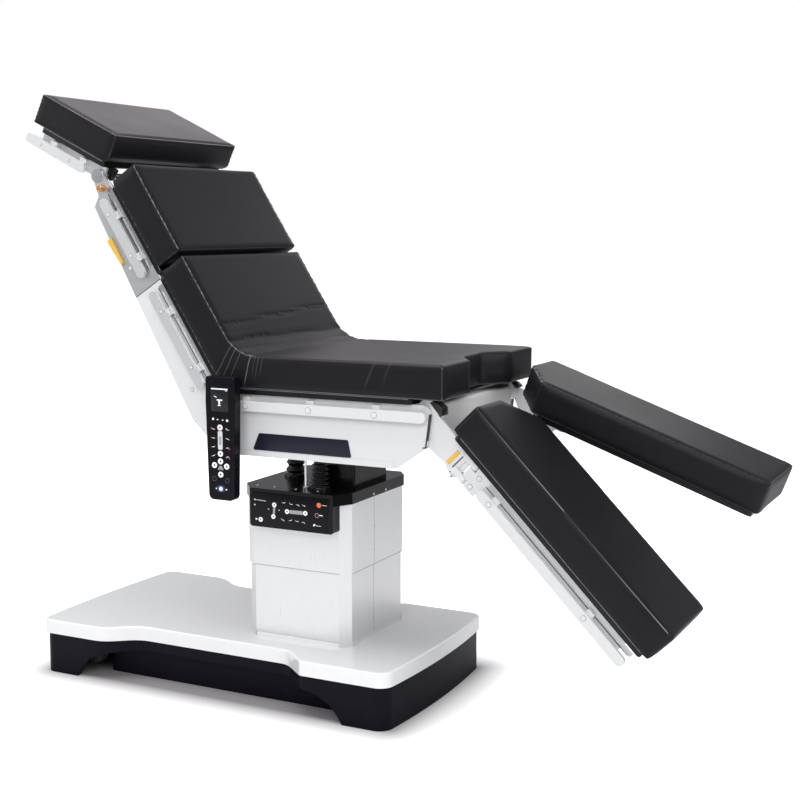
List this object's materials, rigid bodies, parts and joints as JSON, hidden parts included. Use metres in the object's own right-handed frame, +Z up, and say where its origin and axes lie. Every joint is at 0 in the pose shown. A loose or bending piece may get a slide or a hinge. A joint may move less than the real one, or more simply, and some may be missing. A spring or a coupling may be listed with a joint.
{
  "type": "operating table",
  "caption": "Mobile operating table with a telescopic column, tilting and sliding sectioned top, folding head, back and spreading leg sections, rails and a handset.",
  "frame": {"origin": "on the floor under the column's axis, on the underside of the chassis tub, mount floor_rest", "axes": "+X along the top from the head end to the leg end, +Y to the far side, +Z up"},
  "size_m": [1.8505, 0.607, 1.5156],
  "materials": {
    "vinyl": "black coated vinyl over foam",
    "board": "black laminate",
    "white_paint": "glossy white",
    "navy_skirt": "dark navy",
    "grey_alloy": "satin anodised",
    "rail_steel": "brushed",
    "shell_steel": "brushed stainless",
    "frame_paint": "grey paint",
    "cast_base": "dark grey paint",
    "black_paint": "black paint",
    "chrome_rod": "polished",
    "bellows_rubber": "soft black",
    "black_cap": "gloss black",
    "battery_case": "dark case",
    "castor_fork": "grey paint",
    "castor_tyre": "dark grey tread",
    "yellow_plastic": "signal yellow",
    "brass_knob": "polished"
  },
  "bodies": {
    "base": {"base_top_plate": "white_paint", "base_skirt": "navy_skirt", "chassis_tub": "cast_base", "fixed_mast": "cast_base", "lift_cylinder_barrel": "black_paint", "pump_unit": "black_paint", "battery_pack": "battery_case", "column_lower_shell": "shell_steel"},
    "castor_carriage": {"castor_beams": "black_paint"},
    "lift_head": {"moving_mast": "cast_base", "lift_piston_rod": "chrome_rod", "column_inner_sleeve": "shell_steel", "column_upper_shell": "shell_steel", "column_cap": "black_cap", "trunnion_post": "frame_paint", "trunnion_cover": "black_cap", "tilt_cylinder_barrels": "black_paint"},
    "roll_ram": {"roll_rod": "chrome_rod", "roll_bellows": "bellows_rubber"},
    "pitch_ram": {"pitch_rod": "chrome_rod", "pitch_bellows": "bellows_rubber"},
    "cardan": {"cardan_cross": "frame_paint"},
    "saddle": {"tilt_saddle": "frame_paint"},
    "seat": {"seat_chassis": "frame_paint", "seat_side_plates": "white_paint", "seat_board": "board", "seat_mattress": "vinyl", "seat_rails": "rail_steel"},
    "handset": {"handset": "black_cap"},
    "back": {"lower_back_side_plates": "grey_alloy", "upper_back_side_plates": "grey_alloy", "back_boards": "board", "lower_back_mattress": "vinyl", "upper_back_pad": "vinyl", "back_rails": "rail_steel", "back_cross_members": "frame_paint", "head_hinge_pins": "chrome_rod"},
    "lever": {"release_lever": "yellow_plastic"},
    "knob": {"release_knob": "brass_knob"},
    "head": {"head_frame": "grey_alloy", "head_board": "board", "head_pad": "vinyl"},
    "castor_fork_head_near": {"castor_fork_head_near": "castor_fork"},
    "castor_wheels_head_near": {"castor_wheels_head_near": "castor_tyre"},
    "castor_fork_head_far": {"castor_fork_head_far": "castor_fork"},
    "castor_wheels_head_far": {"castor_wheels_head_far": "castor_tyre"},
    "castor_fork_leg_near": {"castor_fork_leg_near": "castor_fork"},
    "castor_wheels_leg_near": {"castor_wheels_leg_near": "castor_tyre"},
    "castor_fork_leg_far": {"castor_fork_leg_far": "castor_fork"},
    "castor_wheels_leg_far": {"castor_wheels_leg_far": "castor_tyre"},
    "near_leg_arm": {"near_leg_housing": "white_paint"},
    "near_leg": {"near_leg_frame": "rail_steel", "near_leg_board": "board", "near_leg_pad": "vinyl"},
    "near_leg_button": {"near_leg_button": "yellow_plastic"},
    "far_leg_arm": {"far_leg_housing": "white_paint"},
    "far_leg": {"far_leg_frame": "rail_steel", "far_leg_board": "board", "far_leg_pad": "vinyl"},
    "far_leg_button": {"far_leg_button": "yellow_plastic"}
  },
  "joints": [
    {"name": "castor_lift", "type": "slide", "parent": "base", "child": "castor_carriage", "axis": [0, 0, 1], "range_m": [-0.032, 0]},
    {"name": "castor_swivel_head_near", "type": "hinge", "parent": "castor_carriage", "child": "castor_fork_head_near", "pos_m": [-0.612, -0.205, 0.09], "axis": [0, 0, 1], "continuous": true},
    {"name": "castor_roll_head_near", "type": "hinge", "parent": "castor_fork_head_near", "child": "castor_wheels_head_near", "pos_m": [-0.596, -0.205, 0.048], "axis": [0, 1, 0], "continuous": true},
    {"name": "castor_swivel_head_far", "type": "hinge", "parent": "castor_carriage", "child": "castor_fork_head_far", "pos_m": [-0.612, 0.205, 0.09], "axis": [0, 0, 1], "continuous": true},
    {"name": "castor_roll_head_far", "type": "hinge", "parent": "castor_fork_head_far", "child": "castor_wheels_head_far", "pos_m": [-0.596, 0.205, 0.048], "axis": [0, 1, 0], "continuous": true},
    {"name": "castor_swivel_leg_near", "type": "hinge", "parent": "castor_carriage", "child": "castor_fork_leg_near", "pos_m": [0.246, -0.205, 0.09], "axis": [0, 0, 1], "continuous": true},
    {"name": "castor_roll_leg_near", "type": "hinge", "parent": "castor_fork_leg_near", "child": "castor_wheels_leg_near", "pos_m": [0.262, -0.205, 0.048], "axis": [0, 1, 0], "continuous": true},
    {"name": "castor_swivel_leg_far", "type": "hinge", "parent": "castor_carriage", "child": "castor_fork_leg_far", "pos_m": [0.246, 0.205, 0.09], "axis": [0, 0, 1], "continuous": true},
    {"name": "castor_roll_leg_far", "type": "hinge", "parent": "castor_fork_leg_far", "child": "castor_wheels_leg_far", "pos_m": [0.262, 0.205, 0.048], "axis": [0, 1, 0], "continuous": true},
    {"name": "column_lift", "type": "slide", "parent": "base", "child": "lift_head", "axis": [0, 0, 1], "range_m": [-0.17, 0.08]},
    {"name": "lateral_tilt", "type": "hinge", "parent": "lift_head", "child": "cardan", "pos_m": [0.075, 0, 0.64], "axis": [1, 0, 0], "range_deg": [-18, 18]},
    {"name": "pitch_tilt", "type": "hinge", "parent": "cardan", "child": "saddle", "pos_m": [0.075, 0, 0.64], "axis": [0, 1, 0], "range_deg": [-25, 15]},
    {"name": "roll_ram_slide", "type": "slide", "parent": "lift_head", "child": "roll_ram", "axis": [0, 0, 1], "range_m": [-0.04, 0.04], "deforming": ["roll_bellows"]},
    {"name": "pitch_ram_slide", "type": "slide", "parent": "lift_head", "child": "pitch_ram", "axis": [0, 0, 1], "range_m": [-0.075, 0.045], "deforming": ["pitch_bellows"]},
    {"name": "top_slide", "type": "slide", "parent": "saddle", "child": "seat", "axis": [1, 0, 0], "range_m": [-0.15, 0.15]},
    {"name": "back_hinge", "type": "hinge", "parent": "seat", "child": "back", "pos_m": [-0.168, 0, 0.735], "axis": [0, -1, 0], "range_deg": [-12, 92.5]},
    {"name": "head_hinge", "type": "hinge", "parent": "back", "child": "head", "pos_m": [-0.50982, 0, 1.30691], "axis": [0, 1, 0], "range_deg": [-50, 32]},
    {"name": "release_lever_hinge", "type": "hinge", "parent": "back", "child": "lever", "pos_m": [-0.43692, -0.256, 1.09012], "axis": [0, 1, 0], "range_deg": [-12, 0], "stiffness_Nm_per_rad": 0.6, "springref_deg": 11.46},
    {"name": "release_knob_slide", "type": "slide", "parent": "back", "child": "knob", "axis": [0, -1, 0], "range_m": [0, 0.008], "stiffness_N_per_m": 400, "springref_m": -0.005},
    {"name": "near_leg_hinge", "type": "hinge", "parent": "seat", "child": "near_leg_arm", "pos_m": [0.406, 0, 0.764], "axis": [0, 1, 0], "range_deg": [-57, 44.4]},
    {"name": "near_leg_spread", "type": "hinge", "parent": "near_leg_arm", "child": "near_leg", "pos_m": [0.52354, -0.247, 0.64397], "axis": [-0.7145, 0, -0.6997], "range_deg": [0, 90]},
    {"name": "near_leg_button_slide", "type": "slide", "parent": "near_leg_arm", "child": "near_leg_button", "axis": [0, 1, 0], "range_m": [0, 0.003], "stiffness_N_per_m": 900, "springref_m": -0.001},
    {"name": "far_leg_hinge", "type": "hinge", "parent": "seat", "child": "far_leg_arm", "pos_m": [0.406, 0, 0.764], "axis": [0, 1, 0], "range_deg": [-31.5, 69.9]},
    {"name": "far_leg_spread", "type": "hinge", "parent": "far_leg_arm", "child": "far_leg", "pos_m": [0.56377, 0.247, 0.70627], "axis": [0.3437, 0, 0.9391], "range_deg": [0, 90]},
    {"name": "far_leg_button_slide", "type": "slide", "parent": "far_leg_arm", "child": "far_leg_button", "axis": [0, -1, 0], "range_m": [0, 0.003], "stiffness_N_per_m": 900, "springref_m": -0.001},
    {"name": "handset_lift_off", "type": "slide", "parent": "seat", "child": "handset", "axis": [0, 0, 1], "range_m": [0, 0.008]}
  ],
  "couplings": [
    {"joint": "roll_ram_slide", "follows": "lateral_tilt", "m_per_rad": -0.12},
    {"joint": "pitch_ram_slide", "follows": "pitch_tilt", "m_per_rad": 0.167}
  ]
}
